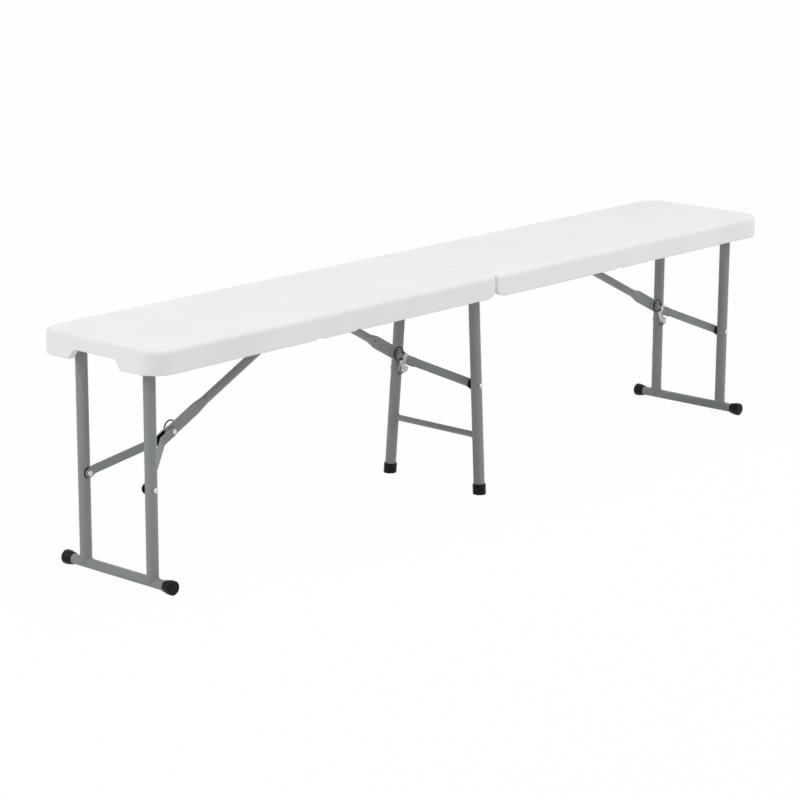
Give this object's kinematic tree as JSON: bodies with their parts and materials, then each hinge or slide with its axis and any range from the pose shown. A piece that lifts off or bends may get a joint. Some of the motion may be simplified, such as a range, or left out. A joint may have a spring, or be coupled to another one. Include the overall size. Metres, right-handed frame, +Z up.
{
  "type": "folding bench",
  "caption": "Long narrow bench that folds in half, with fold-away steel legs and braces locked by rings.",
  "frame": {"origin": "floor level below the middle of the seat's seam", "axes": "+X along the seat towards the half that swings, +Y to the rear, +Z up"},
  "size_m": [1.8, 0.3, 0.44],
  "materials": {
    "seat_plastic": "white blow-moulded polyethylene, fine leather grain",
    "leg_steel": "grey powder coat",
    "brace_steel": "grey powder coat",
    "bracket_steel": "grey powder coat on pressed sheet",
    "zinc_plated": "bright zinc plating",
    "black_plastic": "black moulded plastic",
    "black_wire": "black dipped steel wire"
  },
  "bodies": {
    "left_half": {"brace_bracket_left": "bracket_steel", "bracket_screws_left": "zinc_plated", "hinge_leaves_left": "bracket_steel", "hinge_pins": "zinc_plated", "pivot_brackets_left": "bracket_steel", "pivot_brackets_middle": "bracket_steel", "pivot_pins_left": "zinc_plated", "seat_left": "seat_plastic"},
    "right_half": {"brace_bracket_right": "bracket_steel", "bracket_screws_right": "zinc_plated", "hinge_leaves_right": "bracket_steel", "pivot_brackets_right": "bracket_steel", "pivot_pins_right": "zinc_plated", "seat_right": "seat_plastic"},
    "leg_left": {"arm_rivets_left": "zinc_plated", "arm_washers_left": "black_plastic", "foot_caps_left": "black_plastic", "foot_tube_left": "leg_steel", "leg_tube_front_left": "leg_steel", "leg_tube_rear_left": "leg_steel", "pivot_tube_left": "leg_steel"},
    "arms_left": {"brace_arm_front_left": "brace_steel", "brace_arm_rear_left": "brace_steel", "knee_rivets_left": "zinc_plated", "lock_bracket_left": "zinc_plated", "lock_liner_left": "black_plastic"},
    "link_left": {"brace_link_left": "brace_steel", "knee_pin_left": "zinc_plated"},
    "lock_left": {"lock_ring_left": "black_wire"},
    "leg_middle": {"arm_rivets_middle": "zinc_plated", "arm_washers_middle": "black_plastic", "crossbar_middle": "leg_steel", "foot_caps_middle": "black_plastic", "leg_tube_front_middle": "leg_steel", "leg_tube_rear_middle": "leg_steel", "pivot_tube_middle": "leg_steel"},
    "arms_middle": {"brace_arm_front_middle": "brace_steel", "brace_arm_rear_middle": "brace_steel", "knee_rivets_middle": "zinc_plated", "lock_bracket_middle": "zinc_plated", "lock_liner_middle": "black_plastic"},
    "link_middle": {"brace_link_middle": "brace_steel", "knee_pin_middle": "zinc_plated"},
    "lock_middle": {"lock_ring_middle": "black_wire"},
    "leg_right": {"arm_rivets_right": "zinc_plated", "arm_washers_right": "black_plastic", "foot_caps_right": "black_plastic", "foot_tube_right": "leg_steel", "leg_tube_front_right": "leg_steel", "leg_tube_rear_right": "leg_steel", "pivot_tube_right": "leg_steel"},
    "arms_right": {"brace_arm_front_right": "brace_steel", "brace_arm_rear_right": "brace_steel", "knee_rivets_right": "zinc_plated", "lock_bracket_right": "zinc_plated", "lock_liner_right": "black_plastic"},
    "link_right": {"brace_link_right": "brace_steel", "knee_pin_right": "zinc_plated"},
    "lock_right": {"lock_ring_right": "black_wire"}
  },
  "joints": [
    {"name": "half_fold", "type": "hinge", "parent": "left_half", "child": "right_half", "pos_m": [0, 0, 0.3815], "axis": [0, 1, 0], "range_deg": [0, 180]},
    {"name": "leg_fold_left", "type": "hinge", "parent": "left_half", "child": "leg_left", "pos_m": [-0.8527, 0, 0.418], "axis": [0, -1, 0], "range_deg": [0, 86.8]},
    {"name": "link_turn_left", "type": "hinge", "parent": "left_half", "child": "link_left", "pos_m": [-0.366, 0, 0.419], "axis": [0, 1, 0], "range_deg": [0, 22.85]},
    {"name": "arm_turn_left", "type": "hinge", "parent": "leg_left", "child": "arms_left", "pos_m": [-0.8527, 0, 0.1803], "axis": [0, -1, 0], "range_deg": [0, 70.35]},
    {"name": "ring_swing_left", "type": "hinge", "parent": "arms_left", "child": "lock_left", "pos_m": [-0.72956, 0.0106, 0.24069], "axis": [-0.4403, 0, 0.8978], "range_deg": [0, 110]},
    {"name": "leg_fold_middle", "type": "hinge", "parent": "left_half", "child": "leg_middle", "pos_m": [-0.018, 0, 0.416], "axis": [0, 1, 0], "range_deg": [0, 89.2]},
    {"name": "link_turn_middle", "type": "hinge", "parent": "left_half", "child": "link_middle", "pos_m": [-0.366, 0, 0.419], "axis": [0, -1, 0], "range_deg": [0, 21.1]},
    {"name": "arm_turn_middle", "type": "hinge", "parent": "leg_middle", "child": "arms_middle", "pos_m": [-0.00278, 0, 0.21657], "axis": [0, 1, 0], "range_deg": [0, 69.7]},
    {"name": "ring_swing_middle", "type": "hinge", "parent": "arms_middle", "child": "lock_middle", "pos_m": [-0.1109, -0.0106, 0.27682], "axis": [0.4868, 0, 0.8735], "range_deg": [0, 110]},
    {"name": "leg_fold_right", "type": "hinge", "parent": "right_half", "child": "leg_right", "pos_m": [0.8527, 0, 0.418], "axis": [0, 1, 0], "range_deg": [0, 86.8]},
    {"name": "link_turn_right", "type": "hinge", "parent": "right_half", "child": "link_right", "pos_m": [0.366, 0, 0.419], "axis": [0, -1, 0], "range_deg": [0, 22.85]},
    {"name": "arm_turn_right", "type": "hinge", "parent": "leg_right", "child": "arms_right", "pos_m": [0.8527, 0, 0.1803], "axis": [0, 1, 0], "range_deg": [0, 70.35]},
    {"name": "ring_swing_right", "type": "hinge", "parent": "arms_right", "child": "lock_right", "pos_m": [0.72956, -0.0106, 0.24069], "axis": [0.4403, 0, 0.8978], "range_deg": [0, 110]}
  ],
  "couplings": [
    {"joint": "leg_fold_left", "follows": "half_fold", "ratio": 0.48222},
    {"joint": "link_turn_left", "follows": "half_fold", "ratio": 0.12695},
    {"joint": "arm_turn_left", "follows": "half_fold", "ratio": 0.39083},
    {"joint": "leg_fold_middle", "follows": "half_fold", "ratio": 0.49556},
    {"joint": "link_turn_middle", "follows": "half_fold", "ratio": 0.11722},
    {"joint": "arm_turn_middle", "follows": "half_fold", "ratio": 0.38723},
    {"joint": "leg_fold_right", "follows": "half_fold", "ratio": 0.48222},
    {"joint": "link_turn_right", "follows": "half_fold", "ratio": 0.12695},
    {"joint": "arm_turn_right", "follows": "half_fold", "ratio": 0.39083}
  ]
}
